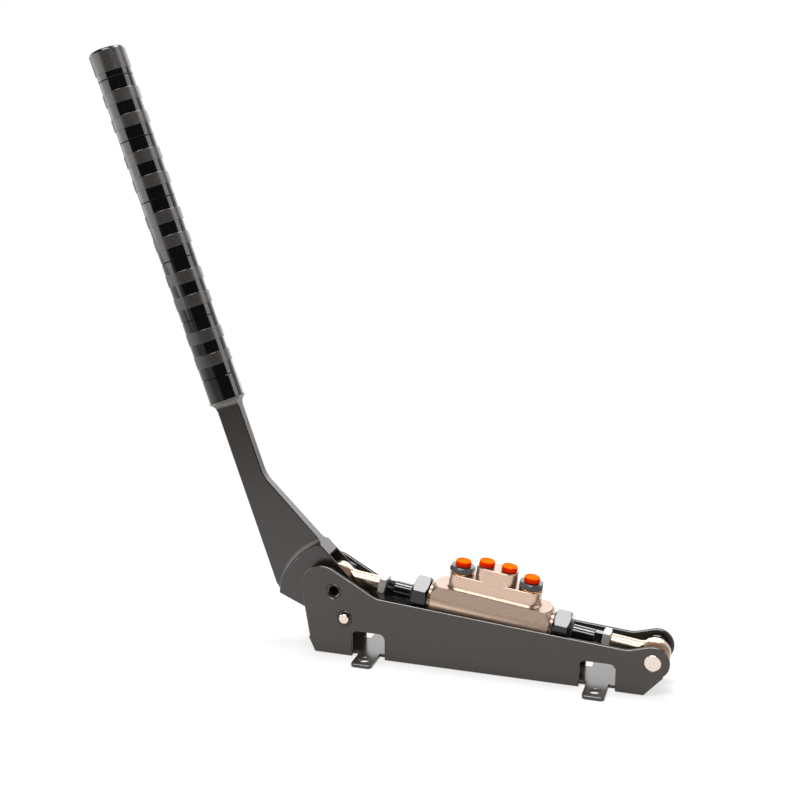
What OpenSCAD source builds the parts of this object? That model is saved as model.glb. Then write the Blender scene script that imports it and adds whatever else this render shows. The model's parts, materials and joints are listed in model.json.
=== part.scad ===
// Parking brake lever: a machined lever on a folded channel base, working a floating
// master cylinder that is held between two rod ends.
// Millimetres. The origin is the centre of the four base holes on the underside,
// +X points to the rear end of the base, +Z points up, and Y runs across the channel.

/* [Channel base] */
// Outside width of the folded channel
chan_w = 38.1; // [37:0.1:46]
// Sheet thickness
sheet_t = 3; // [2:0.1:3.4]
// Outside radius of the sharply folded long edges
bend_r = 1.2; // [0.6:0.1:6]
// Underside reaches this far forward
base_front = 136.4; // [134:0.2:139]
// Underside ends this far ahead of the rear pin
heel_in = 6; // [4:0.5:10]
// Front edge swings out by this much at the toe
toe_out = 5.5; // [3:0.1:8]
// Height of the toe corner
toe_z = 12; // [9:0.5:15]
// Small step where the bent edge ends, at toe and heel
edge_step = 1; // [0.4:0.1:1.6]
// Distance of the front ear's centre ahead of the origin
ear_x = 129.6; // [127:0.2:132]
// Height of the front ear's centre
ear_z = 55.8; // [54:0.2:60]
// Radius of the front ear
ear_r = 18; // [16:0.2:22]
// Distance of the knee ahead of the origin
knee_x = 84.7; // [76:0.5:88]
// Height of the knee in the upper edge
knee_z = 51.3; // [49:0.1:53]
// Radius in the knee
knee_r = 14; // [6:1:24]
// The valley lies this far ahead of the rear pin
valley_in = 18.8; // [16:0.2:24]
// Height of the valley in front of the rear ear
valley_z = 34.5; // [32:0.1:37]
// Radius in the valley
valley_r = 16; // [6:1:24]
// Radius of the rear ear
rear_ear_r = 12.6; // [11:0.1:15]
// Direction on the rear ear where the heel chamfer starts
heel_a = -54; // [-64:1:-46]

/* [Windows and tabs] */
// Hole spacing along the base
hole_pitch_x = 182.4; // [170:0.2:190]
// Hole spacing across the base
hole_pitch_y = 56; // [53:0.2:60]
// Diameter of the base holes
hole_d = 8.6; // [5:0.1:10]
// Length of each window
win_l = 27.6; // [22:0.2:30]
// Height of each window
win_h = 21.8; // [12:0.2:23]
// Radius of the window's upper corners
win_r = 5; // [2:0.5:8]
// Width of each foot tab
tab_w = 17; // [14:0.2:20]
// Tab tips stand this far from the middle
tab_reach = 38; // [36:0.2:46]
// Corner radius of the tab tips
tab_r = 3; // [1:0.5:5]
// The relief beside a tab reaches this far into the floor
relief = 2.5; // [1:0.5:5]

/* [Lever] */
// Pivot distance ahead of the origin
pivot_x = 110.9; // [109:0.1:113]
// Pivot height
pivot_z = 32; // [30:0.1:34]
// Forward lean of the lever at rest, degrees
lean = 19; // [15:0.5:23]
// Distance from the pivot up to the front ball
ball_arm = 30; // [28:0.2:32]
// Offset of the arm and grip ahead of the pivot
arm_off = 45.2; // [42:0.2:50]
// Width of the flat arm
arm_w = 20.4; // [18:0.2:24]
// Thickness of the flat arm
arm_t = 8.5; // [7:0.1:12]
// Length from the pivot to the collar, along the grip
arm_top = 193.2; // [175:0.2:210]
// Thickness of the forked hub
hub_t = 19.6; // [19:0.1:21]
// Radius of the thick hub about the pivot
hub_r = 60.8; // [56:0.2:66]
// Radius of the boss around the pivot
boss_r = 13.5; // [11:0.1:15]
// Direction the fork's front edge faces
fork_a = 25.6; // [20:0.2:30]
// Distance of the fork's front edge from the ball
fork_gap = 9.6; // [8.6:0.1:10.6]
// Width of the slot between the tines
slot_w = 15.2; // [14.8:0.1:15.6]
// Slot length above the ball
slot_up = 18; // [16:0.5:22]
// Radius inside the bend of the front edge
bend_in_r = 28; // [12:1:40]
// Height of the flare on the arm's edges, under the collar
flare_edge = 6; // [4:0.2:10]
// Height of the hollow run-out on the arm's faces, under the collar
flare_face = 7; // [5:0.2:10]
// Thickness of the collar
collar_t = 0.8; // [0.5:0.1:4]

/* [Grip] */
// Diameter of the smooth bands
grip_d = 28.6; // [25:0.2:34]
// Height of the knurled bands above the smooth ones
knurl_h = 0.3; // [0.1:0.1:0.8]
// Length of one band
band_l = 9.8; // [8:0.1:12]
// Length of the plain ring at the foot of the grip
foot_l = 19.1; // [8:0.1:30]
// Length of the knurled cap
cap_l = 23.1; // [12:0.1:30]
// Length of the plain part of the cap, below its knurl
cap_plain = 5; // [2:0.1:7]
// Length of the spigot that the grip's core tube stands on
spigot_l = 60; // [30:1:90]
// Outside diameter of the grip's core tube
core_d = 22; // [20:0.2:23]
// Wall of the core tube
core_wall = 2; // [1.5:0.1:2.6]
// Bevel at the joints of the grip rings
ring_bevel = 0.5; // [0.2:0.1:0.8]

/* [Pins and bushes] */
// Diameter of the pivot pin
pivot_d = 8; // [6:0.1:9]
// The pivot pin stands this far out of each plate
pivot_out = 2.4; // [1:0.1:3]
// Outside diameter of the pivot bushes and keeper stems
bush_d = 12.4; // [11:0.1:14]
// Flange diameter of the pivot bushes
bush_flange_d = 17.6; // [15:0.1:18]
// Keeper distance ahead of the origin
keeper_x = 120.1; // [119:0.1:122]
// Keeper height
keeper_z = 53.6; // [53:0.1:55]
// Diameter of the keeper's inner disc
keeper_d = 27.6; // [25:0.1:28]
// Thickness of the keeper's inner disc
keeper_t = 2.5; // [1.5:0.1:5]
// Bore through the keeper
keeper_bore = 8; // [5:0.1:9]
// Diameter of the clevis pin
clevis_d = 8.6; // [7:0.1:8.8]
// Play of the front ball on the clevis pin, each side
open_play = 0.45; // [0.45:0.05:0.6]
// Rear pin distance behind the origin; the rear end and the rods follow it
rear_x = 132; // [128:0.2:150]
// Rear pin height
rear_z = 26.8; // [25:0.1:28]
// Diameter of the rear pin's heads
rear_head_d = 12.7; // [11:0.1:14]
// Diameter of the rear pin's shaft
rear_shaft_d = 9.4; // [8:0.1:9.4]
// Thread that joins the rear pin and its screw
rear_thread_d = 6; // [5:0.1:6.4]
// Large diameter of the stepped rear spacers
spacer_d = 20; // [16:0.2:22]

/* [Rod ends] */
// Head diameter
head_d = 23; // [22.4:0.1:25]
// Head width
head_w = 7.8; // [7:0.1:10]
// Shank diameter
shank_d = 14.2; // [13:0.1:14.2]
// Radius of the hollow neck between head and shank
neck_r = 14; // [6:0.5:20]
// Ball centre to where the neck has become the round shank
neck_l = 18; // [17:0.2:22]
// Ball centre to shank end
shank_l = 34.5; // [30:0.2:38]
// Ball diameter
ball_d = 16.6; // [16:0.1:17.2]
// Ball width
ball_w = 12; // [11:0.1:12.6]
// Outside diameter of the liner around the ball
race_d = 19.6; // [18.8:0.1:20.4]
// Width of the liner
race_w = 8.6; // [6:0.1:9.4]
// Stud diameter
stud_d = 9.5; // [8:0.1:10]
// Jam nut across flats
nut_af = 17.8; // [15:0.1:19]
// Jam nut thickness
nut_h = 6; // [4:0.1:8]
// Turn of the front jam nut about the axis, degrees
front_nut_turn = 40; // [0:1:60]
// Turn of the rear jam nut about the axis, degrees
rear_nut_turn = 24; // [0:1:60]

/* [Cylinder] */
// Length of the cylinder body
body_l = 94.6; // [90:0.2:100]
// Width across the body's flats
body_w = 25; // [24:0.1:27]
// Radius of the body's round underside
barrel_r = 13.8; // [13.2:0.1:14.6]
// Height of the flat shoulders above the axis
shoulder_h = 15.8; // [14:0.1:17]
// Radius where the turned end bevels start
end_r = 15.2; // [14.5:0.1:16]
// The body sits this much nearer the front ball than the middle
body_shift = 1.3; // [0:0.1:4]
// Length of the turned seat under each gland
seat_l = 3.2; // [2:0.1:5]
// Diameter of the turned seat
seat_d = 26; // [24:0.1:27]
// Piston bore
bore_d = 19; // [17:0.1:19.4]
// Wall between the two bores
mid_wall = 8; // [5:0.5:9]
// Gland across flats
gland_af = 28.4; // [24:0.1:29]
// Gland hexagon length
gland_h = 12.1; // [10:0.1:15]
// Diameter of the gland's threaded part
gland_thread_d = 22; // [20.5:0.1:22.6]
// Length of the gland's threaded part in the body
gland_thread_l = 8; // [5:0.5:10]
// Push rod diameter
rod_d = 13.6; // [11:0.1:14]
// Push rod flats, across
flat_af = 12; // [10.5:0.1:12.5]
// Length of the push rod flats
flat_l = 6; // [4:0.2:8]
// Turn of the front push rod's flats, degrees
front_flat_turn = 10; // [0:1:60]
// Turn of the rear push rod's flats, degrees
rear_flat_turn = 35; // [0:1:60]
// Piston length
piston_l = 9.2; // [7:0.1:11]
// Wiper diameter
wiper_d = 18; // [16:0.2:20]
// The gland's upper corner lies past the top by this much, degrees
gland_turn = 3; // [0:1:8]

/* [Ports] */
// Width of the port block
block_w = 19; // [17:0.1:22]
// Length of the low part of the port block
lobe_l = 74; // [72:0.5:80]
// Height of the low part above the axis
lobe_h = 27.5; // [22:0.1:30]
// Length of the tall part of the port block
tower_l = 32.8; // [30:0.2:34]
// Height of the tall part above the axis
tower_h = 37.9; // [35:0.1:42]
// Bevel around the foot of the block
foot_bevel = 1.4; // [0.6:0.1:2]
// Distance of the inner ports from the middle
port_in = 9; // [8:0.1:9.5]
// Distance of the outer ports from the middle
port_out = 27.5; // [27:0.1:28.5]
// Port diameter
port_d = 9; // [7:0.1:10]
// Adaptor hexagon across flats
adaptor_af = 18; // [15:0.1:18.4]
// Adaptor hexagon height
adaptor_h = 4.7; // [3:0.1:6]
// Turn of the front adaptor's hexagon, degrees
front_adaptor_turn = 27; // [0:1:60]
// Turn of the rear adaptor's hexagon, degrees
rear_adaptor_turn = 37; // [0:1:60]
// Washer thickness
washer_t = 1.2; // [0.8:0.1:2]
// Washer diameter
washer_d = 18; // [16:0.1:18.6]
// Plug cap diameter
plug_d = 12.2; // [10.5:0.1:13]
// Plug cap height
plug_h = 4.2; // [3:0.1:6]

/* [Clearances] */
// Running fit, radial
run_fit = 0.03; // [0.02:0.01:0.06]
// Seating fit between fixed pieces, radial
seat_fit = 0.02; // [0.01:0.01:0.05]
// Side gap between faces that move past each other
side_gap = 0.25; // [0.2:0.05:0.4]
// Gap between a gland's inner end and the piston at rest
piston_gap = 0.3; // [0.2:0.1:0.8]

/* [Hidden] */
$fn = 64;
inner_y = chan_w / 2 - sheet_t;
base_rear = rear_x - heel_in;
valley_x = rear_x - valley_in;
// length and height of the blank that the side view is cut from
blank_l = 2 * (rear_x + ear_x + ear_r);
blank_h = 2 * (ear_z + ear_r);
hub_y = hub_t / 2;
// front ball, from the lever's geometry
front_x = -pivot_x - ball_arm * sin(lean);
front_z = pivot_z + ball_arm * cos(lean);
// line between the two balls
tilt = atan2(front_z - rear_z, rear_x - front_x);
span = norm([rear_x - front_x, front_z - rear_z]);
body_s = span / 2 - body_shift;
half_l = body_l / 2 + seat_l + gland_h;
front_gs = body_s - half_l;
rear_gs = span - body_s - half_l;
grip_z = arm_top + collar_t;
sleeve_l = 5 * band_l;
grip_end = grip_z + foot_l + 5 * sleeve_l + cap_l;
flats_s = shank_l + nut_h;
// flat rim of a hexagon's end face, inside its flats
hex_face = 0.3;

function dir(a) = [cos(a), sin(a)];
// distance from a ball to the piston's seat, for the gland face at gs
function piston_s(gs) = gs + gland_h + seat_l + gland_thread_l + piston_gap;
// touch point on the circle c, r of a line from p, on the left (s = 1) or right (s = -1)
function touch(p, c, r, s) =
    let(d = norm(c - p), b = atan2(c[1] - p[1], c[0] - p[0]), a = asin(r / d))
    p + sqrt(d * d - r * r) * dir(b + s * a);

// frames: the lever leans about its pivot, the cylinder lies on the line of the balls
module at_lever() { translate([-pivot_x, 0, pivot_z]) rotate([0, -lean, 0]) children(); }
module at_front() { translate([front_x, 0, front_z]) rotate([0, tilt, 0]) children(); }
module at_rear() { at_front() translate([span, 0, 0]) rotate([0, 0, 180]) children(); }
module at_body() { at_front() translate([body_s, 0, 0]) children(); }
module both_sides() { children(); mirror([0, 1, 0]) children(); }
// profile in X and Z, given a thickness across Y
module across(t) { rotate([90, 0, 0]) linear_extrude(height = t, center = true) children(); }
// axis Z turned to point to -Y, and to +X
module to_y() { rotate([90, 0, 0]) children(); }
module to_x() { rotate([0, 90, 0]) children(); }

// rounds a hollow corner v between the edges that run to p and q
module hollow_corner(v, p, q, r) {
    d1 = (p - v) / norm(p - v);
    d2 = (q - v) / norm(q - v);
    m = (d1 + d2) / norm(d1 + d2);
    h = acos(d1 * d2) / 2;
    c = v + m * r / sin(h);
    difference() {
        polygon([v - m * 0.2, v + d1 * r / tan(h), c, v + d2 * r / tan(h)]);
        translate(c) circle(r);
    }
}

// hexagon with turned bevels at both ends, along Z; a bore of 0 leaves it solid
module hexagon(af, h, bore, turn) {
    r = af / sqrt(3) + 1;
    face_r = af / 2 - hex_face;
    b = (r - face_r) * tan(30);
    difference() {
        intersection() {
            rotate(turn) cylinder(h = h, r = r - 1, $fn = 6);
            rotate_extrude() polygon([[0, 0], [face_r, 0], [r, b], [r, h - b],
                                      [face_r, h], [0, h]]);
        }
        if (bore > 0) translate([0, 0, -1]) cylinder(h = h + 2, d = bore);
    }
}

// block with round ends and straight sides, from z0 to z1, tapering from w0 to w1
module round_ended(l, w, w0, w1, z0, z1) {
    e = l / 2 - w / 2;
    translate([0, 0, z0]) {
        translate([-e, 0, 0]) cylinder(h = z1 - z0, d1 = w0, d2 = w1);
        translate([e, 0, 0]) cylinder(h = z1 - z0, d1 = w0, d2 = w1);
        rotate([90, 0, 90]) linear_extrude(height = 2 * e, center = true)
            polygon([[-w0 / 2, 0], [w0 / 2, 0], [w1 / 2, z1 - z0], [-w1 / 2, z1 - z0]]);
    }
}

// turned disc or ring about Z with bevelled outer edges; a bore of 0 leaves it solid
module bevel_ring(r, bore, z0, z1, b) {
    difference() {
        rotate_extrude() polygon([[0, z0], [r - b, z0], [r, z0 + b], [r, z1 - b],
                                  [r - b, z1], [0, z1]]);
        if (bore > 0) translate([0, 0, z0 - 1]) cylinder(h = z1 - z0 + 2, r = bore);
    }
}

// side view of the folded channel
module side_outline() {
    ear = [-ear_x, ear_z];
    rear = [rear_x, rear_z];
    toe = [-base_front - toe_out, toe_z];
    toe_in = toe + [edge_step, edge_step];
    knee = [-knee_x, knee_z];
    valley = [valley_x, valley_z];
    ear_up = touch(knee, ear, ear_r, -1);
    rear_up = touch(valley, rear, rear_ear_r, 1);
    heel = rear + rear_ear_r * dir(heel_a);
    heel_out = rear + (rear_ear_r + edge_step) * dir(heel_a + 1);
    polygon([[-base_front, 0], toe, toe_in, touch(toe_in, ear, ear_r, 1), ear_up, knee,
             valley, rear_up, rear, heel, heel_out, [base_rear, 0]]);
    translate(ear) circle(ear_r);
    translate(rear) circle(rear_ear_r);
    hollow_corner(knee, ear_up, valley, knee_r);
    hollow_corner(valley, knee, rear_up, valley_r);
}

// cross section of the fold, closed at the floor and open above
module fold(w, z, r) {
    translate([-w / 2, z + r]) square([w, blank_h]);
    translate([-w / 2 + r, z]) square([w - 2 * r, blank_h]);
    for (s = [-1, 1]) translate([s * (w / 2 - r), z + r]) circle(r);
}

module window_outline() {
    translate([-win_l / 2, -1]) square([win_l, win_h - win_r + 1]);
    translate([-win_l / 2 + win_r, -1]) square([win_l - 2 * win_r, win_h + 1]);
    for (s = [-1, 1]) translate([s * (win_l / 2 - win_r), win_h - win_r]) circle(win_r);
}

module tab_outline() {
    translate([-tab_w / 2, inner_y - relief - 1])
        square([tab_w, tab_reach - tab_r - inner_y + relief + 1]);
    translate([-tab_w / 2 + tab_r, 0]) square([tab_w - 2 * tab_r, tab_reach]);
    for (s = [-1, 1]) translate([s * (tab_w / 2 - tab_r), tab_reach - tab_r]) circle(tab_r);
}

module base_channel() color("#3a3836") {
    difference() {
        intersection() {
            rotate([90, 0, 90]) linear_extrude(height = blank_l, center = true) difference() {
                fold(chan_w, 0, bend_r);
                fold(chan_w - 2 * sheet_t, sheet_t, max(bend_r - sheet_t, 0.5));
            }
            across(chan_w + 2) side_outline();
        }
        for (s = [-1, 1]) translate([s * hole_pitch_x / 2, 0, 0]) both_sides()
            translate([0, -chan_w / 2 - 2, 0]) rotate([-90, 0, 0]) mirror([0, 1, 0])
                linear_extrude(height = sheet_t + relief + 2) window_outline();
        translate([-pivot_x, 0, pivot_z]) to_y()
            cylinder(h = chan_w + 2, d = bush_d, center = true);
        translate([-keeper_x, 0, keeper_z]) to_y()
            cylinder(h = chan_w + 2, d = bush_d, center = true);
        translate([rear_x, 0, rear_z]) to_y()
            cylinder(h = chan_w + 2, d = rear_head_d + 2 * seat_fit, center = true);
    }
    for (s = [-1, 1]) translate([s * hole_pitch_x / 2, 0, 0]) both_sides() difference() {
        linear_extrude(height = sheet_t) tab_outline();
        translate([0, hole_pitch_y / 2, -1]) cylinder(h = sheet_t + 2, d = hole_d);
    }
}

// flanged bush in a plate: stem flush outside, flange reaching in from the plate
module plate_bush(flange, reach, bore) {
    difference() {
        union() {
            translate([0, 0, inner_y - 0.5]) rotate_extrude()
                polygon([[0, 0], [bush_d / 2, 0], [bush_d / 2, sheet_t + 0.1],
                         [bush_d / 2 - 0.4, sheet_t + 0.5], [0, sheet_t + 0.5]]);
            bevel_ring(flange / 2, 0, inner_y - reach, inner_y, 0.6);
        }
        cylinder(h = chan_w, d = bore);
        translate([0, 0, chan_w / 2 - 0.8]) cylinder(h = 1, d1 = bore, d2 = bore + 2.6);
    }
}

module pivot_bushes() color("#201f1e") translate([-pivot_x, 0, pivot_z]) both_sides()
    to_y() plate_bush(bush_flange_d, inner_y - hub_y - side_gap, pivot_d + 2 * run_fit);

module keeper_pucks() color("#1c1c1c") translate([-keeper_x, 0, keeper_z]) both_sides()
    to_y() plate_bush(keeper_d, keeper_t, keeper_bore);

// shoulder of the rear pin inside the near plate
module rear_pin() color("#d9d4cf") translate([rear_x, 0, rear_z]) to_y() difference() {
    union() {
        bevel_ring(rear_head_d / 2, 0, inner_y, inner_y + sheet_t, 0.3);
        translate([0, 0, -inner_y]) cylinder(h = 2 * inner_y + 0.5, d = rear_shaft_d);
    }
    translate([0, 0, -inner_y - 1]) cylinder(h = 15, d = rear_thread_d);
}

module rear_pin_screw() color("#d9d4cf") translate([rear_x, 0, rear_z]) rotate([-90, 0, 0]) {
    bevel_ring(rear_head_d / 2, 0, inner_y, inner_y + sheet_t, 0.3);
    translate([0, 0, inner_y - 12]) cylinder(h = 12.5, d = rear_thread_d - 2 * seat_fit);
}

// stepped spacers between the rear ball and the plates
module rear_spacers() color("#1b1b1b") translate([rear_x, 0, rear_z]) both_sides() to_y() {
    y0 = ball_w / 2;
    y1 = inner_y;
    step = y0 + (y1 - y0) * 0.45;
    difference() {
        rotate_extrude() polygon([[0, y0], [7, y0], [7.6, step], [spacer_d / 2 - 0.6, step],
                                  [spacer_d / 2, step + 0.6], [spacer_d / 2, y1 - 0.4],
                                  [spacer_d / 2 - 0.4, y1], [0, y1]]);
        translate([0, 0, y0 - 1]) cylinder(h = y1 - y0 + 2, d = rear_shaft_d + 2 * seat_fit);
    }
}

// the lever's side view in its own frame: pivot at the origin, grip axis upright
module lever_outline() {
    n = dir(fork_a);
    xl = -arm_off - arm_w / 2;
    xr = -arm_off + arm_w / 2;
    edge = n * [0, ball_arm] + fork_gap;
    elbow = [xr, (edge - n[0] * xr) / n[1]];
    chin = [(edge - n[1] * ball_arm * 0.6) / n[0], ball_arm * 0.6];
    heel = [xl + 3.2, 29.5];
    polygon([[xl, arm_top], [xl, 37], heel, touch(heel, [0, 0], boss_r, -1), [0, 0],
             touch(chin, [0, 0], boss_r, 1), chin, elbow, [xr, arm_top]]);
    circle(boss_r);
    hollow_corner(elbow, chin, [xr, arm_top], bend_in_r);
}

// space between the tines: the rod end's head, its shank, and the open end above
module slot_outline() translate([0, ball_arm]) {
    circle(head_d / 2 + 1.7);
    rotate(-tilt - lean) translate([0, -shank_d / 2 - 1]) square([2 * hub_r, shank_d + 2]);
    rotate(fork_a) translate([-head_d / 2 - 1.7, 0]) square([2 * hub_r, slot_up]);
}

// hollow round that runs the thick hub out into the flat arm
module hub_runout() {
    f = (hub_t - arm_t) / 2;
    to_y() both_faces() rotate_extrude() difference() {
        translate([hub_r - 2, 0]) square([f + 2, hub_y]);
        translate([hub_r + f, hub_y]) circle(f);
    }
}
module both_faces() { children(); mirror([0, 0, 1]) children(); }

// view of a flare, h high: half width w below, growing by a hollow round to r at the top
module flare_view(w, r, h) {
    d = r - w;
    hollow = (d * d + h * h) / (2 * d);
    difference() {
        translate([-r - 1, -h]) square([2 * r + 2, h]);
        for (s = [-1, 1]) translate([s * (w + hollow), -h]) circle(hollow);
    }
}
// round stock under the grip, cut down to the flat arm on its edges and on its faces
module arm_flare(r) {
    land = r - 0.3;
    intersection() {
        translate([0, 0, -flare_face]) cylinder(h = flare_face, r = r);
        across(2 * r + 2) union() {
            flare_view(arm_w / 2 - 0.05, land, flare_edge);
            translate([-arm_w / 2 + 0.05, -flare_face]) square([arm_w - 0.1, flare_face]);
        }
        rotate([0, 0, 90]) across(2 * r + 2) flare_view(arm_t / 2 - 0.05, land, flare_face);
    }
}

module lever() color("#454341") at_lever() {
    collar_r = grip_d / 2 + knurl_h;
    difference() {
        union() {
            across(arm_t) lever_outline();
            intersection() {
                across(hub_t) lever_outline();
                union() {
                    to_y() cylinder(h = hub_t + 2, r = hub_r, center = true);
                    hub_runout();
                }
            }
            translate([-arm_off, 0, arm_top]) {
                arm_flare(collar_r);
                cylinder(h = collar_t, r = collar_r);
                cylinder(h = collar_t + spigot_l, d = core_d - 2 * core_wall - 2 * seat_fit);
            }
        }
        to_y() cylinder(h = hub_t + 2, d = pivot_d + 2 * seat_fit, center = true);
        translate([0, 0, ball_arm]) to_y()
            cylinder(h = hub_t + 2, d = clevis_d + 2 * seat_fit, center = true);
        across(slot_w) slot_outline();
    }
}

module pivot_pin() color("#e6e2dd") at_lever() to_y()
    translate([0, 0, -chan_w / 2 - pivot_out])
        bevel_ring(pivot_d / 2, 0, 0, chan_w + 2 * pivot_out, 0.4);

module clevis_pin() color("#c9c5c0") at_lever() translate([0, 0, ball_arm]) to_y()
    translate([0, 0, -hub_y + 0.1])
        rotate_extrude() polygon([[0, 0], [clevis_d / 2 - 0.4, 0], [clevis_d / 2, 0.4],
                                  [clevis_d / 2, hub_t - 0.6], [clevis_d / 2 - 0.4, hub_t - 0.2],
                                  [0, hub_t - 0.2]]);

module clevis_washers() color("#8d8a86") at_lever() translate([0, 0, ball_arm]) both_sides()
    to_y() {
        t = (slot_w - ball_w) / 2 - 0.15;
        bevel_ring(6.6, clevis_d / 2 + seat_fit, slot_w / 2 - t, slot_w / 2, 0.2);
    }

// grip: a core tube on the lever's spigot, carrying a stack of turned rings
module grip_stack(z) { at_lever() translate([-arm_off, 0, grip_z + z]) children(); }

module grip_tube() color("#2b2b2b") grip_stack(0) difference() {
    cylinder(h = foot_l + 5 * sleeve_l + cap_l - 4, d = core_d);
    translate([0, 0, -1]) cylinder(h = grip_end, d = core_d - 2 * core_wall);
}

module grip_ring(l, bands) {
    r = grip_d / 2;
    b = ring_bevel;
    difference() {
        union() {
            bevel_ring(r, 0, 0, l, b);
            for (k = bands) translate([0, 0, k * band_l])
                bevel_ring(r + knurl_h, 0, 0, band_l, knurl_h);
        }
        translate([0, 0, -1]) cylinder(h = l + 2, d = core_d + 2 * seat_fit);
    }
}

module grip_foot_ring() color("#161616") grip_stack(0) grip_ring(foot_l, []);
module sleeve(k) { color("#161616") grip_stack(foot_l + k * sleeve_l) grip_ring(sleeve_l, [1, 3]); }
module grip_sleeve_1() { sleeve(0); }
module grip_sleeve_2() { sleeve(1); }
module grip_sleeve_3() { sleeve(2); }
module grip_sleeve_4() { sleeve(3); }
module grip_sleeve_5() { sleeve(4); }

module grip_cap() color("#1f1f1f") grip_stack(foot_l + 5 * sleeve_l) difference() {
    r = grip_d / 2;
    rotate_extrude() polygon([[0, 0], [r - ring_bevel, 0], [r, ring_bevel], [r, cap_plain],
                              [r + knurl_h, cap_plain + knurl_h], [r + knurl_h, cap_l - 1],
                              [r + knurl_h - 1, cap_l], [0, cap_l]]);
    translate([0, 0, -1]) cylinder(h = cap_l - 3, d = core_d + 2 * seat_fit);
}

// half section of the neck about the shank's axis: a hollow round from the head into the shank
module neck_section() {
    r = head_d / 2 - 0.3;
    s = shank_d / 2;
    c = [s + neck_r, sqrt((r + neck_r) * (r + neck_r) - (s + neck_r) * (s + neck_r))];
    difference() {
        polygon([[0, 0], c * r / (r + neck_r), c, [s, c[1]], [s, neck_l], [0, neck_l]]);
        translate(c) circle(neck_r);
    }
}
// rod end with its ball at the origin and its shank along +X
module rod_end() {
    w = head_w / 2 - 0.3;
    s = shank_d / 2 + 0.5;
    root = race_d / 2 - 1;
    difference() {
        union() {
            to_y() translate([0, 0, -head_w / 2]) bevel_ring(head_d / 2, 0, 0, head_w, 0.8);
            intersection() {
                to_x() rotate_extrude() neck_section();
                linear_extrude(height = head_d + 2, center = true)
                    polygon([[0, -w], [root, -w], [neck_l - 1, -s], [neck_l + 1, -s],
                             [neck_l + 1, s], [neck_l - 1, s], [root, w], [0, w]]);
            }
            translate([neck_l - 0.5, 0, 0]) to_x() rotate_extrude()
                polygon([[0, 0], [shank_d / 2, 0], [shank_d / 2, shank_l - neck_l - 0.1],
                         [shank_d / 2 - 0.6, shank_l - neck_l + 0.5], [0, shank_l - neck_l + 0.5]]);
        }
        to_y() cylinder(h = head_w + 2, d = race_d + 2 * seat_fit, center = true);
        translate([race_d / 2 + 2.4, 0, 0]) to_x() cylinder(h = shank_l, d = stud_d + 2 * seat_fit);
    }
}
// liner with a hollow that fits the ball, turned about Y
module race() {
    to_y() rotate_extrude() difference() {
        translate([0, -race_w / 2]) square([race_d / 2, race_w]);
        circle(d = ball_d + 2 * run_fit);
    }
}
module ball(bore) {
    to_y() rotate_extrude() intersection() {
        circle(d = ball_d);
        translate([bore / 2, -ball_w / 2]) square([ball_d, ball_w]);
    }
}
module jam_nut(turn) {
    translate([shank_l, 0, 0]) to_x() hexagon(nut_af, nut_h, stud_d + 2 * seat_fit, turn);
}

// push rod from the stud in the rod end to the nose in the piston; gs is the gland's face
module pushrod(gs, turn) {
    seat = piston_s(gs);
    translate([race_d / 2 + 4, 0, 0]) to_x() cylinder(h = flats_s - race_d / 2 - 3, d = stud_d);
    translate([flats_s, 0, 0]) to_x() hexagon(flat_af, flat_l + 0.5, 0, turn);
    translate([flats_s + flat_l, 0, 0]) to_x() {
        bevel_ring(rod_d / 2, 0, 0, seat - flats_s - flat_l, 0.8);
        cylinder(h = seat - flats_s - flat_l + piston_l * 0.6, d = rod_d * 0.5);
    }
}
module piston(gs) {
    r = bore_d / 2 - run_fit;
    translate([piston_s(gs), 0, 0]) to_x() difference() {
        rotate_extrude() polygon([[0, 0], [r - 0.4, 0], [r, 0.4], [r, 3], [r - 2, 3],
                                  [r - 2, 6], [r, 6], [r, piston_l - 0.4],
                                  [r - 0.4, piston_l], [0, piston_l]]);
        translate([0, 0, -1]) cylinder(h = piston_l * 0.6 + 1.2, d = rod_d * 0.5 + 2 * seat_fit);
    }
}
module seal(gs) {
    r = bore_d / 2 - run_fit;
    translate([piston_s(gs), 0, 0]) to_x() bevel_ring(r, r - 2 + seat_fit, 3.05, 5.95, 0.3);
}
module gland(gs, turn) {
    translate([gs, 0, 0]) to_x() difference() {
        union() {
            hexagon(gland_af, gland_h, 0, turn);
            translate([0, 0, gland_h - 0.5])
                cylinder(h = seat_l + gland_thread_l + 0.5, d = gland_thread_d);
        }
        translate([0, 0, -1]) cylinder(h = half_l, d = rod_d + 2 * run_fit);
        translate([0, 0, -1]) cylinder(h = 2.6, d = wiper_d + 2 * seat_fit);
    }
}
module wiper(gs) {
    r = wiper_d / 2;
    translate([gs, 0, 0]) to_x() difference() {
        rotate_extrude() polygon([[0, -2.4], [rod_d / 2 + 0.7, -2.4], [r - 0.5, -1.2], [r, -0.6],
                                  [r, 1.6], [0, 1.6]]);
        translate([0, 0, -4]) cylinder(h = 8, d = rod_d + 2 * run_fit);
    }
}

module front_rod_end() color("#d8d2c8") at_front() rod_end();
module front_race() color("#a8834f") at_front() race();
module front_ball() color("#e4e1dc") at_front() ball(clevis_d + 2 * open_play);
module front_jam_nut() color("#c9c7c2") at_front() jam_nut(front_nut_turn);
module front_pushrod() color("#141414") at_front() pushrod(front_gs, front_flat_turn);
module front_piston() color("#b9b4a8") at_front() piston(front_gs);
module front_seal() color("#101010") at_front() seal(front_gs);
module front_gland() color("#1a1a1a") at_front() gland(front_gs, -gland_turn);
module front_wiper() color("#111111") at_front() wiper(front_gs);

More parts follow.
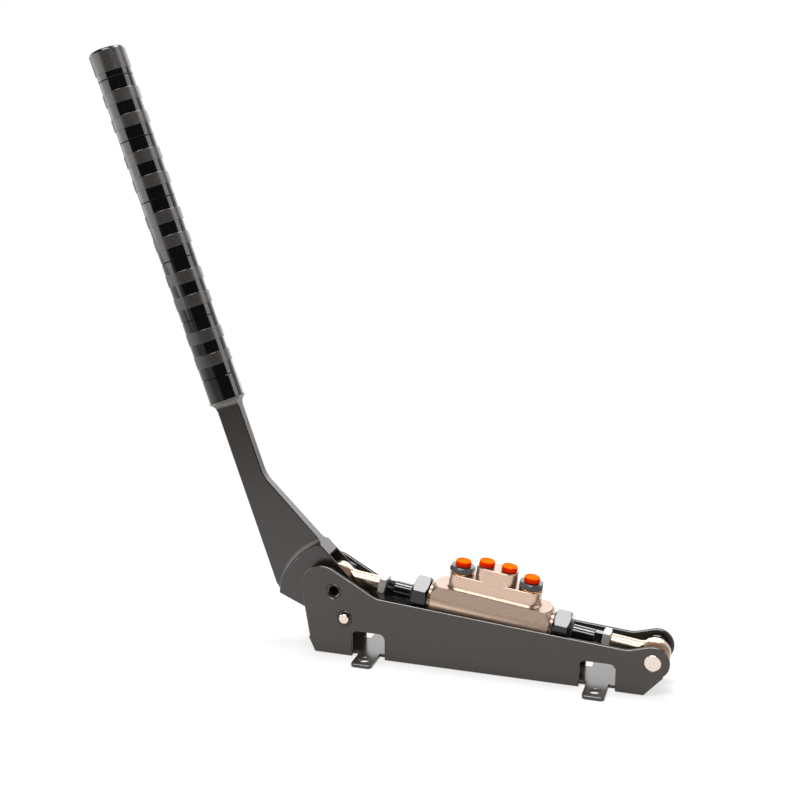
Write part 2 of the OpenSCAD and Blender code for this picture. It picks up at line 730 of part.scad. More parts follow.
module rear_rod_end() color("#d8d2c8") at_rear() rod_end();
module rear_race() color("#a8834f") at_rear() race();
module rear_ball() color("#e4e1dc") at_rear() ball(rear_shaft_d + 2 * seat_fit);
module rear_jam_nut() color("#c9c7c2") at_rear() jam_nut(rear_nut_turn);
module rear_pushrod() color("#141414") at_rear() pushrod(rear_gs, rear_flat_turn);
module rear_piston() color("#b9b4a8") at_rear() piston(rear_gs);
module rear_seal() color("#101010") at_rear() seal(rear_gs);
module rear_gland() color("#1a1a1a") at_rear() gland(rear_gs, gland_turn);
module rear_wiper() color("#111111") at_rear() wiper(rear_gs);

// milled bar: round below, flat sides and flat shoulders above, port block on top
module cylinder_body() color("#c4ab98") at_body() difference() {
    union() {
        intersection() {
            rotate([90, 0, 90]) linear_extrude(height = body_l, center = true) {
                intersection() {
                    circle(barrel_r);
                    square([body_w, 4 * barrel_r], center = true);
                }
                translate([-body_w / 2, 0]) square([body_w, shoulder_h]);
            }
            to_x() rotate_extrude()
                polygon([[0, -body_l / 2], [end_r, -body_l / 2], [2 * end_r, -body_l / 2 + end_r],
                         [2 * end_r, body_l / 2 - end_r], [end_r, body_l / 2], [0, body_l / 2]]);
        }
        to_x() bevel_ring(seat_d / 2, 0, -body_l / 2 - seat_l, body_l / 2 + seat_l, 0.8);
        round_ended(lobe_l, block_w, block_w + 2 * foot_bevel, block_w, shoulder_h - 0.01,
                    shoulder_h + foot_bevel);
        round_ended(lobe_l, block_w, block_w, block_w, shoulder_h - 3, lobe_h - 0.5);
        round_ended(lobe_l, block_w, block_w, block_w - 1, lobe_h - 0.5, lobe_h);
        round_ended(tower_l, block_w, block_w, block_w, shoulder_h - 3, tower_h - 0.5);
        round_ended(tower_l, block_w, block_w, block_w - 1, tower_h - 0.5, tower_h);
    }
    for (s = [0, 180]) rotate([0, 0, s]) {
        translate([mid_wall / 2, 0, 0]) to_x() cylinder(h = body_l, d = bore_d);
        translate([body_l / 2 - gland_thread_l - 0.05, 0, 0]) to_x()
            cylinder(h = body_l / 2, d = gland_thread_d + 2 * seat_fit);
        translate([port_in, 0, 0]) cylinder(h = 2 * tower_h, d = port_d);
        translate([port_out, 0, 0]) cylinder(h = 2 * tower_h, d = port_d);
    }
}

module port_adaptors() color("#5b6062") at_body() for (s = [-1, 1])
    translate([s * port_out, 0, lobe_h + washer_t]) difference() {
        union() {
            hexagon(adaptor_af, adaptor_h, 0, s < 0 ? front_adaptor_turn : rear_adaptor_turn);
            translate([0, 0, -washer_t - 7])
                cylinder(h = washer_t + adaptor_h + 6.8, d = port_d - 2 * seat_fit);
        }
        translate([0, 0, -washer_t - 8]) cylinder(h = 2 * tower_h, d = port_d - 3);
    }

module port_washers() color("#c77b3c") at_body() for (s = [-1, 1])
    translate([s * port_out, 0, lobe_h])
        bevel_ring(washer_d / 2, port_d / 2 + seat_fit, 0, washer_t, 0.3);

// push-in plug: domed cap with a shallow dish, and a stem in the port
module plug(stem_d) {
    r = plug_d / 2;
    difference() {
        union() {
            rotate_extrude() {
                polygon([[0, 0], [r - 0.2, 0], [r, 0.4], [r, plug_h - 1], [r - 1, plug_h - 1],
                         [r - 1, plug_h], [0, plug_h]]);
                intersection() {
                    translate([r - 1, plug_h - 1]) circle(1);
                    translate([r - 1.5, plug_h - 1.5]) square(2);
                }
            }
            translate([0, 0, -6]) cylinder(h = 7, d = stem_d);
        }
        translate([0, 0, plug_h - 0.35]) cylinder(h = 1, d1 = plug_d - 4.4, d2 = plug_d - 3);
    }
}
module port_plugs() color("#f0500a") at_body() for (s = [-1, 1]) {
    translate([s * port_in, 0, tower_h]) plug(port_d - 2 * seat_fit);
    translate([s * port_out, 0, lobe_h + washer_t + adaptor_h]) plug(port_d - 3 - 2 * seat_fit);
}

base_channel();
pivot_bushes();
keeper_pucks();
rear_pin();
rear_pin_screw();
rear_spacers();
rear_ball();
lever();
pivot_pin();
clevis_pin();
clevis_washers();
grip_tube();
grip_foot_ring();
grip_sleeve_1();
grip_sleeve_2();
grip_sleeve_3();
grip_sleeve_4();
grip_sleeve_5();
grip_cap();
front_rod_end();
front_race();
front_ball();
front_jam_nut();
front_pushrod();
front_piston();
front_seal();
cylinder_body();
front_gland();
rear_gland();
front_wiper();
rear_wiper();
port_adaptors();
port_washers();
port_plugs();
rear_rod_end();
rear_race();
rear_jam_nut();
rear_pushrod();
rear_piston();
rear_seal();
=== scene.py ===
# Parking brake lever: the looks of the part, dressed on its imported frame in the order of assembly.
import json
import math

import bmesh
import bpy
from mathutils import Matrix, Vector


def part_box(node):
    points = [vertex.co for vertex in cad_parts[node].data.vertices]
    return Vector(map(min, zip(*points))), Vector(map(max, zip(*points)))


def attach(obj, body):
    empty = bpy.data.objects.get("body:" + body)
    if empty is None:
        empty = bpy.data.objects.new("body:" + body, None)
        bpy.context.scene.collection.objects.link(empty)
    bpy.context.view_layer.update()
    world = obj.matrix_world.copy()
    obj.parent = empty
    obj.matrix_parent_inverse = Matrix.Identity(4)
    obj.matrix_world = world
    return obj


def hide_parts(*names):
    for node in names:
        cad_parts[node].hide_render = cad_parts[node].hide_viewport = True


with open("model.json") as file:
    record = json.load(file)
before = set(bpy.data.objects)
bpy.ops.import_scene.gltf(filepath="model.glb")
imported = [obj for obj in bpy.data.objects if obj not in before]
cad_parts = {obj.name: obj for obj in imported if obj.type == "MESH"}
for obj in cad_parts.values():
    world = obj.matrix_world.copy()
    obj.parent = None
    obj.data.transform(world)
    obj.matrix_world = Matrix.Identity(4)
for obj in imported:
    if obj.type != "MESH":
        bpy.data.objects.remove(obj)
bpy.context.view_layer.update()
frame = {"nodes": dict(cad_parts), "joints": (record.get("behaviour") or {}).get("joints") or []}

# Channel base: one sheet of 3 mm mild steel, laser cut and folded to a channel with four foot tabs.
# Its edges are eased by tumbling, then it is powder coated satin black, so a thin bright line runs
# along every edge that faces the lamps.

# the part's sizes are in mm, which MM turns into metres, and points within WELD are one point
MM = 0.001
WELD = 0.002 * MM
UP = (0, 0, 1)
# a Mix node has several sockets of one name, so its colour sockets go by their places
MIX_BY, COLOUR_A, COLOUR_B, COLOUR_OUT = 0, 6, 7, 2
channel_ease, edge_foot, edge_rise = 0.45, 15.0, 1.0
flat_gloss, edge_gloss, corner_gloss = 0.5, 0.05, 0.6


def linear(hex_colour):
    """Turns an sRGB hex colour into the linear colour that a shader socket takes."""
    parts = [int(hex_colour[k:k + 2], 16) / 255 for k in (1, 3, 5)]
    return [p / 12.92 if p <= 0.04045 else ((p + 0.055) / 1.055) ** 2.4 for p in parts] + [1.0]


def add(finish, kind, inputs, **settings):
    """Adds a node to a finish: inputs take a value, or a (node, output) pair to link."""
    tree = finish.node_tree
    made = tree.nodes.new(kind)
    for key, value in settings.items():
        setattr(made, key, value)
    for key, value in inputs.items():
        if isinstance(value, tuple):
            tree.links.new(value[0].outputs[value[1]], made.inputs[key])
        else:
            made.inputs[key].default_value = value
    return made


def surface(name, grain, colours, roughs, metallic=0.0, bump=0.0, stretch=(1, 1, 1), turn=(0, 0, 0),
            specular=0.5):
    """Makes a finish from one noise: two colours, two roughnesses and a bump.

    Grain and bump are in mm.
    """
    noise_low, noise_high = 0.3, 0.7
    finish = bpy.data.materials.new(name)
    finish.use_nodes = True
    finish.node_tree.nodes.clear()
    finish.diffuse_color = linear(colours[0])
    place = add(finish, "ShaderNodeTexCoord", {})
    mapped = add(finish, "ShaderNodeMapping", {
        "Vector": (place, "Object"), "Rotation": list(turn), "Scale": list(stretch)})
    noise = add(finish, "ShaderNodeTexNoise", {
        "Vector": (mapped, "Vector"), "Scale": 1 / (grain * MM), "Detail": 4.0, "Roughness": 0.55})
    shade = add(finish, "ShaderNodeMix", {
        MIX_BY: (noise, "Fac"), COLOUR_A: linear(colours[0]), COLOUR_B: linear(colours[1])},
        data_type="RGBA")
    rough = add(finish, "ShaderNodeMapRange", {
        "Value": (noise, "Fac"), "From Min": noise_low, "From Max": noise_high,
        "To Min": roughs[0], "To Max": roughs[1]})
    dent = add(finish, "ShaderNodeBump", {
        "Height": (noise, "Fac"), "Distance": bump * MM, "Strength": 1.0})
    shader = add(finish, "ShaderNodeBsdfPrincipled", {
        "Base Color": (shade, COLOUR_OUT), "Roughness": (rough, "Result"), "Normal": (dent, "Normal"),
        "Metallic": metallic, "Specular IOR Level": specular})
    add(finish, "ShaderNodeOutputMaterial", {"Surface": (shader, "BSDF")})
    return finish


def above(finish, up, foot, rise):
    """A mask that goes from 0 to 1 over a rise in mm from a foot in metres, measured along up."""
    place = add(finish, "ShaderNodeTexCoord", {})
    height = add(finish, "ShaderNodeVectorMath", {0: (place, "Object"), 1: list(up)},
                 operation="DOT_PRODUCT")
    mask = add(finish, "ShaderNodeMapRange", {
        "Value": (height, "Value"), "From Min": foot, "From Max": foot + rise * MM})
    return mask, "Result"


def facing(finish, way, low, high):
    """A mask that goes from 0 to 1 as a face turns to look one way, between two cosines."""
    place = add(finish, "ShaderNodeTexCoord", {})
    cosine = add(finish, "ShaderNodeVectorMath", {0: (place, "Normal"), 1: list(way)},
                 operation="DOT_PRODUCT")
    mask = add(finish, "ShaderNodeMapRange", {
        "Value": (cosine, "Value"), "From Min": low, "From Max": high})
    return mask, "Result"


def drive(finish, socket, source):
    """Links a (node, output) pair to a socket of a finish's shader."""
    shader = finish.node_tree.nodes["Principled BSDF"]
    finish.node_tree.links.new(source[0].outputs[source[1]], shader.inputs[socket])


def tint(finish, mask, colour):
    """Mixes one more colour into a finish where its mask is 1."""
    shader = finish.node_tree.nodes["Principled BSDF"]
    dyed = shader.inputs["Base Color"].links[0].from_node
    mixed = add(finish, "ShaderNodeMix", {
        MIX_BY: mask, COLOUR_A: (dyed, COLOUR_OUT), COLOUR_B: linear(colour)}, data_type="RGBA")
    drive(finish, "Base Color", (mixed, COLOUR_OUT))


def shown(bm, name, body, finish, nodes, sharp=32):
    """Makes a piece from a bmesh: shaded smooth but for sharp edges, riding on its body."""
    mesh = bpy.data.meshes.new(name)
    bm.to_mesh(mesh)
    bm.free()
    mesh.polygons.foreach_set("use_smooth", [True] * len(mesh.polygons))
    mesh.set_sharp_from_angle(angle=math.radians(sharp))
    mesh.materials.append(finish)
    piece = bpy.data.objects.new(name, mesh)
    bpy.context.scene.collection.objects.link(piece)
    piece.modifiers.new("flats_stay_flat", "WEIGHTED_NORMAL").keep_sharp = True
    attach(piece, body)
    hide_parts(*nodes)
    return piece


def merged(node):
    """A copy of a CAD node's mesh with its triangles joined to flat faces."""
    flat = math.radians(0.2)
    bm = bmesh.new()
    bm.from_mesh(frame["nodes"][node].data)
    bmesh.ops.remove_doubles(bm, verts=bm.verts, dist=WELD)
    bmesh.ops.dissolve_limit(bm, angle_limit=flat, verts=bm.verts, edges=bm.edges, delimit={"NORMAL"})
    return bm


def eased(bm, ease, corner=24, steps=2, shortest=0.0):
    """Eases, by some mm, every edge that is sharper than a corner and longer than the shortest."""
    edges = [e for e in bm.edges if e.is_manifold and e.calc_face_angle() > math.radians(corner)
             and e.calc_length() > shortest * MM]
    # where the short edges are left out, nothing has to clamp the ease
    bmesh.ops.bevel(bm, geom=edges, offset=ease * MM, offset_type="OFFSET", segments=steps,
                    profile=0.5, affect="EDGES", clamp_overlap=shortest == 0, material=-1)
    return bm


def show_eased(node, ease, name, body, finish, steps=2):
    """Shows a CAD node with its sharp edges eased by some mm."""
    shown(eased(merged(node), ease, steps=steps), name, body, finish, [node])


# cured powder leaves a fine orange peel, about 0.9 mm from dimple to dimple
coat_black = surface("satin_powder_coat", 0.9, ("#38312c", "#3f3833"), (0.17, 0.23), bump=0.006)
# painted shade: the cut edge along the top of the plates is painted near black, and made dull
high = above(coat_black, UP, edge_foot * MM, edge_rise)
level = facing(coat_black, UP, low=0.73, high=0.8)
edge = add(coat_black, "ShaderNodeMath", {0: high, 1: level}, operation="MULTIPLY")
tint(coat_black, (edge, "Value"), "#141312")
dull = add(coat_black, "ShaderNodeMapRange", {
    "Value": (edge, "Value"), "To Min": flat_gloss, "To Max": edge_gloss})
# its near corner draws a bright line, so the coat is glossier there
corner = facing(coat_black, (0, -0.707, 0.707), low=0.86, high=0.92)
gloss = add(coat_black, "ShaderNodeMath", {0: corner, 1: corner_gloss, 2: (dull, "Result")},
            operation="MULTIPLY_ADD")
drive(coat_black, "Specular IOR Level", (gloss, "Value"))
show_eased("base_channel", channel_ease, "channel", "base", coat_black, steps=1)

# Pivot bushes and keeper discs: turned from black acetal and pressed into the side plates from inside.
# Their flanges space the lever's hub from the plates.


def dress(names, finish):
    """Gives CAD nodes that stay as they are their finish."""
    for name in names:
        node = frame["nodes"][name]
        node.data.materials.clear()
        node.data.materials.append(finish)


# the lathe leaves a soft shine, mottled at about 0.5 mm
acetal = surface("turned_black_acetal", 0.5, ("#161514", "#201e1d"), (0.14, 0.24), bump=0.004,
                 specular=0.8)
dress(["pivot_bushes", "keeper_pucks"], acetal)

# Lever: cut from 20 mm aluminium plate, milled down to a flat arm beyond the round hub and slotted at
# the fork. Its long edges are chamfered up to the flare, and it is anodised satin black.
lever_lean = math.radians(19)
flare_z, flare_sheen_rise, fade_l = 188.0, 0.3, 80.0
chamfer, chamfer_end, chamfer_shortest = 0.8, 2.0, 2.4
arm_gloss, arm_end_gloss = 0.86, 0.5

joints = {joint["name"]: joint for joint in frame["joints"]}
lever_pivot = Vector(joints["lever_hinge"]["pos_m"])
lever_frame = Matrix.Translation(lever_pivot) @ Matrix.Rotation(-lever_lean, 4, "Y")
lever_up = lever_frame.to_3x3() @ Vector(UP)
flare_foot = lever_up.dot(lever_frame.translation) + flare_z * MM

# anodising over milled plate gives an even dark sheen, with almost no grain
lever_black = surface("satin_black_anodised_plate", 1.1, ("#1d1611", "#231b16"), (0.27, 0.32),
                      bump=0.0008, specular=arm_gloss)
# the near side of the arm loses its sheen up to the flare, as in the photograph
fade = above(lever_black, lever_up, flare_foot - fade_l * MM, fade_l)
near_side = facing(lever_black, (0, -1, 0), low=0.8, high=0.95)
faded = add(lever_black, "ShaderNodeMath", {0: fade, 1: near_side}, operation="MULTIPLY")
sheen = add(lever_black, "ShaderNodeMapRange", {
    "Value": (faded, "Value"), "To Min": arm_gloss, "To Max": arm_end_gloss})
drive(lever_black, "Specular IOR Level", (sheen, "Result"))
# the flare is painted paler than the milled plate: a painted sheen for the light it catches
tint(lever_black, above(lever_black, lever_up, flare_foot, flare_sheen_rise), "#5d5b55")

bm = merged("lever")
bmesh.ops.bisect_plane(bm, geom=bm.verts[:] + bm.edges[:] + bm.faces[:], plane_no=lever_up,
                       plane_co=lever_frame @ (Vector((0, 0, flare_z - chamfer_end)) * MM))
eased(bm, chamfer, corner=60, steps=1, shortest=chamfer_shortest)
shown(bm, "lever_arm", "lever", lever_black, ["lever"])

# Pivot pin, clevis pin and washers: ground steel, left bright. The pins go through the lever's hub and
# its fork, and the washers sit on the clevis pin beside the ball.
# grinding leaves a pale warm mirror, broken up at about 0.3 mm
bright_steel = surface("ground_bright_steel", 0.3, ("#dfcdc0", "#ebdcd1"), (0.18, 0.32), metallic=1.0,
                       bump=0.004)
dress(["pivot_pin", "clevis_pin", "clevis_washers"], bright_steel)

# Grip: a core tube on the lever's spigot carries turned aluminium rings, anodised gloss black.
# Every other 10 mm band is rolled to a diamond knurl of about 1.9 mm, which scatters the light.
grip_x, grip_z, grip_r, core_r, ring_bevel = -45.2, 194.0, 14.3, 11.02, 0.5
foot_l, band_l, rings, ring_bands, knurled_bands = 19.1, 9.8, 5, 5, (1, 3)
knurl_h, diamonds, knurl_rows = 0.3, 48, 10
cap_l, cap_plain, cap_round, cap_wall, round_steps = 23.1, 5.0, 1.8, 4.0, 4
grip_frame = lever_frame @ Matrix.Translation(Vector((grip_x, 0, grip_z)) * MM)

# polished before anodising, so nearly a black mirror
gloss_black = surface("gloss_black_anodised", 0.8, ("#060606", "#0a0a0a"), (0.07, 0.12), specular=0.7)
# the knurled bands are painted grey beside the gloss: a painted sheen for the light the diamonds scatter
knurl_painted_sheen = surface("rolled_knurl_painted_sheen", 0.6, ("#2d2b29", "#3d3a38"), (0.2, 0.32), specular=0.7)
# drawing leaves bright metal with faint upright lines
core_alloy = surface("drawn_aluminium_tube", 0.4, ("#aaa7a2", "#bcb9b4"), (0.28, 0.42), metallic=1.0,
                     bump=0.003, stretch=(1, 1, 0.1))


def turned(profile, steps):
    """Spins a closed profile of (radius, height) mm points about Z into a ring or a disc."""
    bm = bmesh.new()
    verts = [bm.verts.new((r * MM, 0, z * MM)) for r, z in profile]
    edges = [bm.edges.new(pair) for pair in zip(verts, verts[1:] + verts[:1])]
    bmesh.ops.spin(bm, geom=verts + edges, axis=UP, cent=(0, 0, 0), angle=math.tau, steps=steps,
                   use_merge=True)
    bmesh.ops.remove_doubles(bm, verts=bm.verts, dist=WELD)
    bmesh.ops.recalc_face_normals(bm, faces=bm.faces)
    return bm


def knurl_profile(z0, z1, rows):
    """Profile points of one knurled band, with a row of points for each half diamond."""
    foot, top = z0 + knurl_h, z1 - knurl_h
    crest = [(grip_r + knurl_h, foot + (top - foot) * k / rows) for k in range(rows + 1)]
    return [(grip_r, z0)] + crest + [(grip_r, z1)]


def roll_knurl(bm, z0, z1, rows):
    """Sinks every other point of a knurled band, which leaves diamonds standing in a second finish."""
    foot, top, slack = z0 + knurl_h, z1 - knurl_h, 0.01
    sunk = grip_r / (grip_r + knurl_h)
    for v in bm.verts:
        row = (v.co.z / MM - foot) / (top - foot) * rows
        on_crest = math.hypot(v.co.x, v.co.y) > (grip_r + knurl_h / 2) * MM
        if on_crest and -slack < row < rows + slack:
            column = round(math.atan2(v.co.y, v.co.x) / math.tau * 2 * diamonds)
            if (column + round(row)) % 2:
                v.co.x *= sunk
                v.co.y *= sunk
    for f in bm.faces:
        middle = f.calc_center_median()
        outside = math.hypot(middle.x, middle.y) > (core_r + grip_r) / 2 * MM
        if outside and z0 * MM < middle.z < z1 * MM:
            f.material_index = 1


def grip_piece(bm, name, z, node):
    """Sets a ring of the grip on the lever, with its plain and its knurled finish."""
    place = grip_frame @ Matrix.Translation(Vector((0, 0, z)) * MM)
    bmesh.ops.transform(bm, matrix=place, verts=bm.verts)
    piece = shown(bm, name, "lever", gloss_black, [node], sharp=24)
    piece.data.materials.append(knurl_painted_sheen)


ring_start = [(core_r, 0), (grip_r - ring_bevel, 0), (grip_r, ring_bevel)]


def ring_end(length):
    """Profile points of the far end of a ring: bevelled rim, then back to the bore."""
    return [(grip_r, length - ring_bevel), (grip_r - ring_bevel, length), (core_r, length)]


grip_piece(turned(ring_start + ring_end(foot_l), 2 * diamonds), "grip_foot", 0, "grip_foot_ring")

ring_l = ring_bands * band_l
for k in range(rings):
    profile = ring_start[:]
    for j in knurled_bands:
        profile += knurl_profile(j * band_l, (j + 1) * band_l, knurl_rows)
    bm = turned(profile + ring_end(ring_l), 2 * diamonds)
    for j in knurled_bands:
        roll_knurl(bm, j * band_l, (j + 1) * band_l, knurl_rows)
    grip_piece(bm, f"grip_ring_{k + 1}", foot_l + k * ring_l, f"grip_sleeve_{k + 1}")

cap_rim = cap_l - cap_round
cap_rows = round((cap_rim - cap_plain) / band_l * knurl_rows)
profile = ring_start + knurl_profile(cap_plain, cap_rim, cap_rows)
for k in range(1, round_steps + 1):
    angle = math.pi / 2 * k / round_steps
    profile.append((grip_r - cap_round * (1 - math.cos(angle)), cap_rim + cap_round * math.sin(angle)))
profile += [(0, cap_l), (0, cap_l - cap_wall), (core_r, cap_l - cap_wall)]
bm = turned(profile, 2 * diamonds)
roll_knurl(bm, cap_plain, cap_rim, cap_rows)
grip_piece(bm, "grip_top", foot_l + rings * ring_l, "grip_cap")
dress(["grip_tube"], core_alloy)

# Front link: a forged and plated rod end with a bronze liner and a chromed ball, locked by a zinc
# plated jam nut on a blacked push rod, which ends in an aluminium piston with a rubber seal.
head_r, rod_end_ease, nut_ease, rod_ease = 11.5, 0.25, 0.2, 0.15

# nickel over the forging is a warm mirror, a little soft
plated = surface("bright_nickel_plate", 0.7, ("#b5a18e", "#c1af9d"), (0.27, 0.32), metallic=1.0)
# the two faces of the head are ground and left matt, so they scatter the light, and they are also painted
# paler than the plate as a painted highlight
ground = surface("ground_nickel_face_painted_highlight", 0.4, ("#cfb196", "#dcc0a6"), (0.4, 0.5), metallic=0.3)
# sintering leaves a dull, grainy bronze
bronze = surface("sintered_bronze_liner", 0.35, ("#c1936f", "#d6ad8a"), (0.35, 0.55), metallic=0.4,
                 bump=0.008)
# polishing makes the ball a clear mirror
chrome = surface("polished_chrome_ball", 1.5, ("#dedbd7", "#e8e5e2"), (0.07, 0.14), metallic=1.0)
# clear zinc is a soft white metal with a fine grain
zinc = surface("clear_zinc_plate", 0.5, ("#c2c0bb", "#d2d0cc"), (0.38, 0.5), metallic=1.0, bump=0.002)
# black oxide over a ground rod is deep black, with sharp glints
black_rod = surface("black_oxide_steel", 0.6, ("#080808", "#0f0e0e"), (0.1, 0.16), specular=0.8)
# turning leaves a soft bright metal
piston_alloy = surface("turned_piston_aluminium", 0.4, ("#aeaaa0", "#c2beb4"), (0.24, 0.38), metallic=1.0)
# moulded rubber is dull black
rubber = surface("moulded_nitrile_rubber", 0.5, ("#131313", "#1b1b1b"), (0.5, 0.64), bump=0.01)


def rod_end(end):
    """Shows the rod end of a link, with the two faces of its head in the ground finish."""
    bm = eased(merged(f"{end}_rod_end"), rod_end_ease, corner=40)
    low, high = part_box(f"{end}_ball")
    for f in bm.faces:
        away = f.calc_center_median() - (low + high) / 2
        sideways = abs(f.normal.y) > 0.99
        if sideways and math.hypot(away.x, away.z) < head_r * MM:
            f.material_index = 1
    piece = shown(bm, f"rod_end_{end}", f"{end}_link", plated, [f"{end}_rod_end"])
    piece.data.materials.append(ground)


def link(end):
    """Shows all the pieces of the front or the rear link."""
    body = f"{end}_link"
    rod_end(end)
    show_eased(f"{end}_jam_nut", nut_ease, f"jam_nut_{end}", body, zinc)
    show_eased(f"{end}_pushrod", rod_ease, f"push_rod_{end}", body, black_rod)
    dress([f"{end}_race"], bronze)
    dress([f"{end}_ball"], chrome)
    dress([f"{end}_piston"], piston_alloy)
    dress([f"{end}_seal"], rubber)


link("front")

# Cylinder body: one bar of aluminium, milled to flat sides, a round underside and a stepped port
# block, then anodised champagne. Fine cutter lines run along it.
body_middle = Vector((4.38, 0, 43.75)) * MM
body_l, body_ease, shoulder_h, shoulder_rise = 94.6, 0.15, 15.8, 0.4
barrel_r, barrel_ease, barrel_inset, barrel_steps = 13.8, 0.6, 0.1, 128
cutter_lines = (0.12, 1, 1)

slide = Vector(joints["cylinder_slide"]["axis"])
body_tilt = math.atan2(-slide.z, slide.x)
body_frame = Matrix.Translation(body_middle) @ Matrix.Rotation(body_tilt, 4, "Y")
body_up = body_frame.to_3x3() @ Vector(UP)
shoulder_foot = body_up.dot(body_frame.translation) + shoulder_h * MM

# milled and anodised aluminium: a soft warm metal, drawn out along the cut
champagne = surface("champagne_anodised_aluminium", 0.6, ("#9b8577", "#aa9485"), (0.23, 0.3),
                    metallic=0.85, bump=0.003, stretch=cutter_lines, turn=(0, -body_tilt, 0))
# the port block is painted paler than the bar below its foot: painted shade on the bar's flanks, where
# they face the dark plate
tint(champagne, above(champagne, body_up, shoulder_foot, shoulder_rise), "#d2b6a2")
# the tops and the fillets are painted deeper in tone than the flanks: painted shade that damps the lamps'
# reflections there
tint(champagne, facing(champagne, body_up, low=0.2, high=0.6), "#907c6e")
show_eased("cylinder_body", body_ease, "cylinder", "cylinder", champagne)

# the turned bar takes the same anodising, painted paler as a highlight for the light on its round top,
# and stands 1.3 mm proud below the flats
bar_painted_highlight = surface("turned_champagne_painted_highlight", 0.6, ("#efcdb4", "#f5d8c2"), (0.34, 0.42),
                     metallic=0.8, stretch=cutter_lines, turn=(0, -body_tilt, 0))
half_l = body_l / 2 - barrel_inset
rim_r = barrel_r - barrel_ease
bm = turned([(0, -half_l), (rim_r, -half_l), (barrel_r, barrel_ease - half_l),
             (barrel_r, half_l - barrel_ease), (rim_r, half_l), (0, half_l)], barrel_steps)
bmesh.ops.transform(bm, matrix=body_frame @ Matrix.Rotation(math.pi / 2, 4, "Y"), verts=bm.verts)
shown(bm, "barrel", "cylinder", bar_painted_highlight, ["cylinder_body"])

# Glands: hexagon steel nuts that hold the push rods in the bores, with a moulded wiper lip where the
# rod comes out.
gland_ease = 0.25

# blacked steel left glossy, so its dark facets mirror the lamps
gland_black = surface("gloss_black_steel", 0.7, ("#0a0a0a", "#121111"), (0.06, 0.11), bump=0.001,
                      specular=0.55)
for end in ("front", "rear"):
    show_eased(f"{end}_gland", gland_ease, f"gland_{end}", "cylinder", gland_black)
dress(["front_wiper", "rear_wiper"], rubber)

# Port fittings: grey plated hexagon adaptors on crushed copper washers, and orange push-in plugs of
# moulded polyethylene with a shallow dish on top.
fitting_ease = 0.25

# grey plate over steel is a soft dark metal
adaptor_grey = surface("grey_plated_steel", 0.5, ("#3c3e3f", "#505253"), (0.22, 0.34), metallic=0.6,
                       bump=0.003)
# annealing leaves the copper soft, warm and a little mottled
copper = surface("annealed_copper", 0.5, ("#cf874c", "#e2a068"), (0.24, 0.38), metallic=1.0, bump=0.005)
# waxy polyethylene shows its colour and no mirror
orange = surface("moulded_orange_polyethylene", 0.8, ("#d42200", "#de2c02"), (0.45, 0.55), bump=0.006,
                 specular=0.0)
# the caps' tops are painted a paler orange than their sides: painted light for what shines through the
# thin caps
tint(orange, facing(orange, UP, low=0.2, high=0.95), "#fb6a0c")
show_eased("port_adaptors", fitting_ease, "adaptors", "cylinder", adaptor_grey)
dress(["port_washers"], copper)
show_eased("port_plugs", fitting_ease, "plugs", "cylinder", orange)

# Rear link: the same pieces turned round, on a shouldered pin between stepped black spacers.
# The pin's bright heads fill their holes in the plates.
link("rear")
dress(["rear_pin", "rear_pin_screw"], bright_steel)
dress(["rear_spacers"], gland_black)

# Floor: a plain white sheet that keeps the part's shadow. Camera, mirror and glass rays see it mixed
# with plain white, more so farther out, so that it runs into the white room behind.

# sizes of the floor, and what follows it, are in metres
floor_half, floor_drop = 6.0, 0.1 * MM
shadow_r, plain_r, least_white = 0.2, 0.6, 0.6
dim_y, lit_y, dim_white = -0.7, -0.25, 0.45
# the places of a Mix node's sockets for plain numbers
FLOAT_A, FLOAT_B, FLOAT_OUT = 2, 3, 0

bm = bmesh.new()
bmesh.ops.create_grid(bm, x_segments=1, y_segments=1, size=floor_half)
bmesh.ops.translate(bm, verts=bm.verts, vec=(0, 0, -floor_drop))
mesh = bpy.data.meshes.new("floor")
bm.to_mesh(mesh)
bm.free()
floor = bpy.data.objects.new("floor", mesh)
bpy.context.scene.collection.objects.link(floor)

sheet = bpy.data.materials.new("white_paper")
sheet.use_nodes = True
sheet.node_tree.nodes.clear()
rays = add(sheet, "ShaderNodeLightPath", {})
place = add(sheet, "ShaderNodeTexCoord", {})
reach = add(sheet, "ShaderNodeVectorMath", {0: (place, "Object")}, operation="LENGTH")
white = add(sheet, "ShaderNodeMapRange", {
    "Value": (reach, "Value"), "From Min": shadow_r, "From Max": plain_r,
    "To Min": least_white, "To Max": 1.0}, interpolation_type="SMOOTHSTEP")
seen = add(sheet, "ShaderNodeMath", {0: (rays, "Is Camera Ray"), 1: (rays, "Is Glossy Ray")},
           operation="MAXIMUM")
seen = add(sheet, "ShaderNodeMath", {0: (seen, "Value"), 1: (rays, "Is Transmission Ray")},
           operation="MAXIMUM")
blend = add(sheet, "ShaderNodeMath", {0: (seen, "Value"), 1: (white, "Result")}, operation="MULTIPLY")
paper = add(sheet, "ShaderNodeBsdfDiffuse", {"Color": linear("#efefee")})
# in mirrors the sheet grows dimmer toward the dark room behind the camera
parts = add(sheet, "ShaderNodeSeparateXYZ", {"Vector": (place, "Object")})
dim = add(sheet, "ShaderNodeMapRange", {
    "Value": (parts, "Y"), "From Min": dim_y, "From Max": lit_y,
    "To Min": dim_white, "To Max": 1.0}, interpolation_type="SMOOTHSTEP")
lit = add(sheet, "ShaderNodeMix", {
    MIX_BY: (rays, "Is Camera Ray"), FLOAT_A: (dim, "Result"), FLOAT_B: 1.0}, data_type="FLOAT")
glow = add(sheet, "ShaderNodeEmission", {"Color": linear("#ffffff"), "Strength": (lit, FLOAT_OUT)})
both = add(sheet, "ShaderNodeMixShader", {
    0: (blend, "Value"), 1: (paper, "BSDF"), 2: (glow, "Emission")})
add(sheet, "ShaderNodeOutputMaterial", {"Surface": (both, "Shader")})
floor.data.materials.append(sheet)

# Room and lamps: a lit white wall behind the part and a dark room behind the camera, with soft boxes
# overhead, in front, low on the left and high on the right, and a broad one that lights the back.
wall_low, wall_high, dark_room, room_light = 0.35, 0.75, 0.03, 0.18

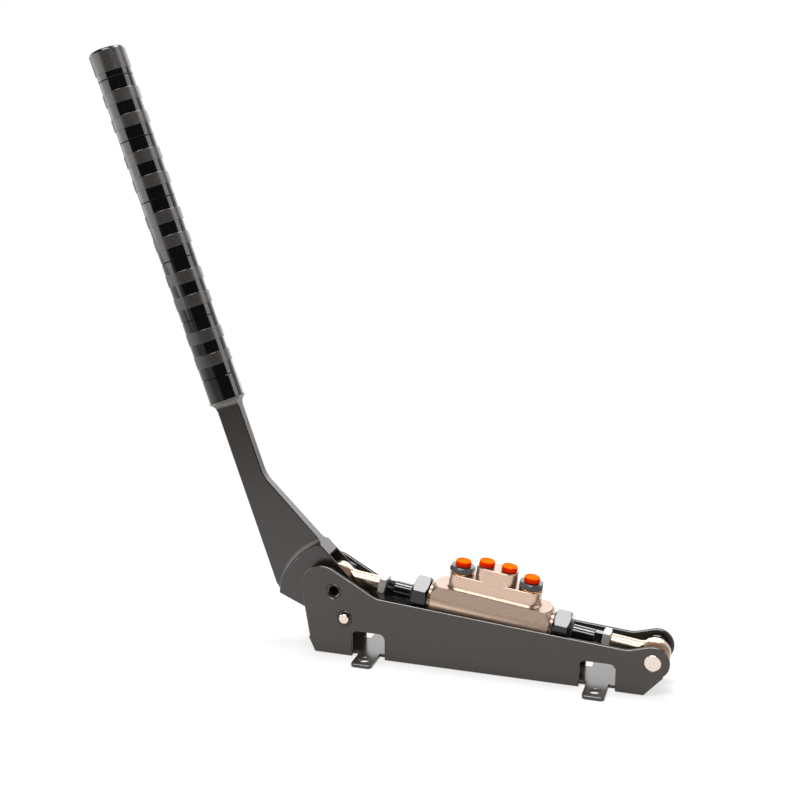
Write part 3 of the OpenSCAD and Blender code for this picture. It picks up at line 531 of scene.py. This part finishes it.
room = bpy.data.worlds.new("white_room")
bpy.context.scene.world = room
room.use_nodes = True
room.node_tree.nodes.clear()
rays = add(room, "ShaderNodeLightPath", {})
aim = add(room, "ShaderNodeTexCoord", {})
parts = add(room, "ShaderNodeSeparateXYZ", {"Vector": (aim, "Generated")})
wall = add(room, "ShaderNodeMapRange", {
    "Value": (parts, "Y"), "From Min": wall_low, "From Max": wall_high,
    "To Min": dark_room, "To Max": 1.0}, interpolation_type="SMOOTHSTEP")
mirrored = add(room, "ShaderNodeMath", {0: (rays, "Is Glossy Ray"), 1: (rays, "Is Transmission Ray")},
               operation="MAXIMUM")
lit = add(room, "ShaderNodeMix", {
    MIX_BY: (mirrored, "Value"), FLOAT_A: room_light, FLOAT_B: (wall, "Result")}, data_type="FLOAT")
lit = add(room, "ShaderNodeMix", {
    MIX_BY: (rays, "Is Camera Ray"), FLOAT_A: (lit, FLOAT_OUT), FLOAT_B: 1.0}, data_type="FLOAT")
glow = add(room, "ShaderNodeBackground", {"Color": linear("#ffffff"), "Strength": (lit, FLOAT_OUT)})
add(room, "ShaderNodeOutputWorld", {"Surface": (glow, "Background")})

for name, watts, size, spot, aim_at in (
        ("soft_box_overhead", 10.0, (0.56, 0.42), (-0.02, 0.27, 1.3), (0, 0, 0.05)),
        ("soft_box_front", 10.5, (1.2, 0.34), (-0.05, -0.56, 1.25), (0, 0, 0.05)),
        ("soft_box_left", 11.0, (1.8, 0.9), (-1.25, -0.4, 0.36), (-0.15, 0, 0.2)),
        ("soft_box_right", 8.0, (0.8, 1.1), (1.15, 0.3, 0.95), (-0.25, 0, 0.35)),
        ("lit_backdrop", 25.0, (2.8, 1.3), (-0.6, 1.6, 0.68), (-0.2, 0, 0.1))):
    lamp = bpy.data.lights.new(name, "AREA")
    lamp.shape = "RECTANGLE"
    lamp.size, lamp.size_y = size
    lamp.energy = watts
    stand = bpy.data.objects.new(name, lamp)
    stand.location = spot
    stand.rotation_euler = (Vector(aim_at) - Vector(spot)).to_track_quat("-Z", "Y").to_euler()
    stand.visible_camera = False
    bpy.context.scene.collection.objects.link(stand)

# Camera: stands where the photograph was taken from, about a metre away and a little above the part,
# and turned by the angles that were fitted to the channel's edges.
lens = bpy.data.cameras.new("photo_camera")
lens.lens, lens.sensor_width = 55.575, 36.0
camera = bpy.data.objects.new("photo_camera", lens)
camera.location = (0.20717, -0.88449, 0.42483)
camera.rotation_euler = [math.radians(a) for a in (76.916, 0, 17.424)]
bpy.context.scene.collection.objects.link(camera)
bpy.context.scene.camera = camera
bpy.context.scene.view_settings.view_transform = "Standard"
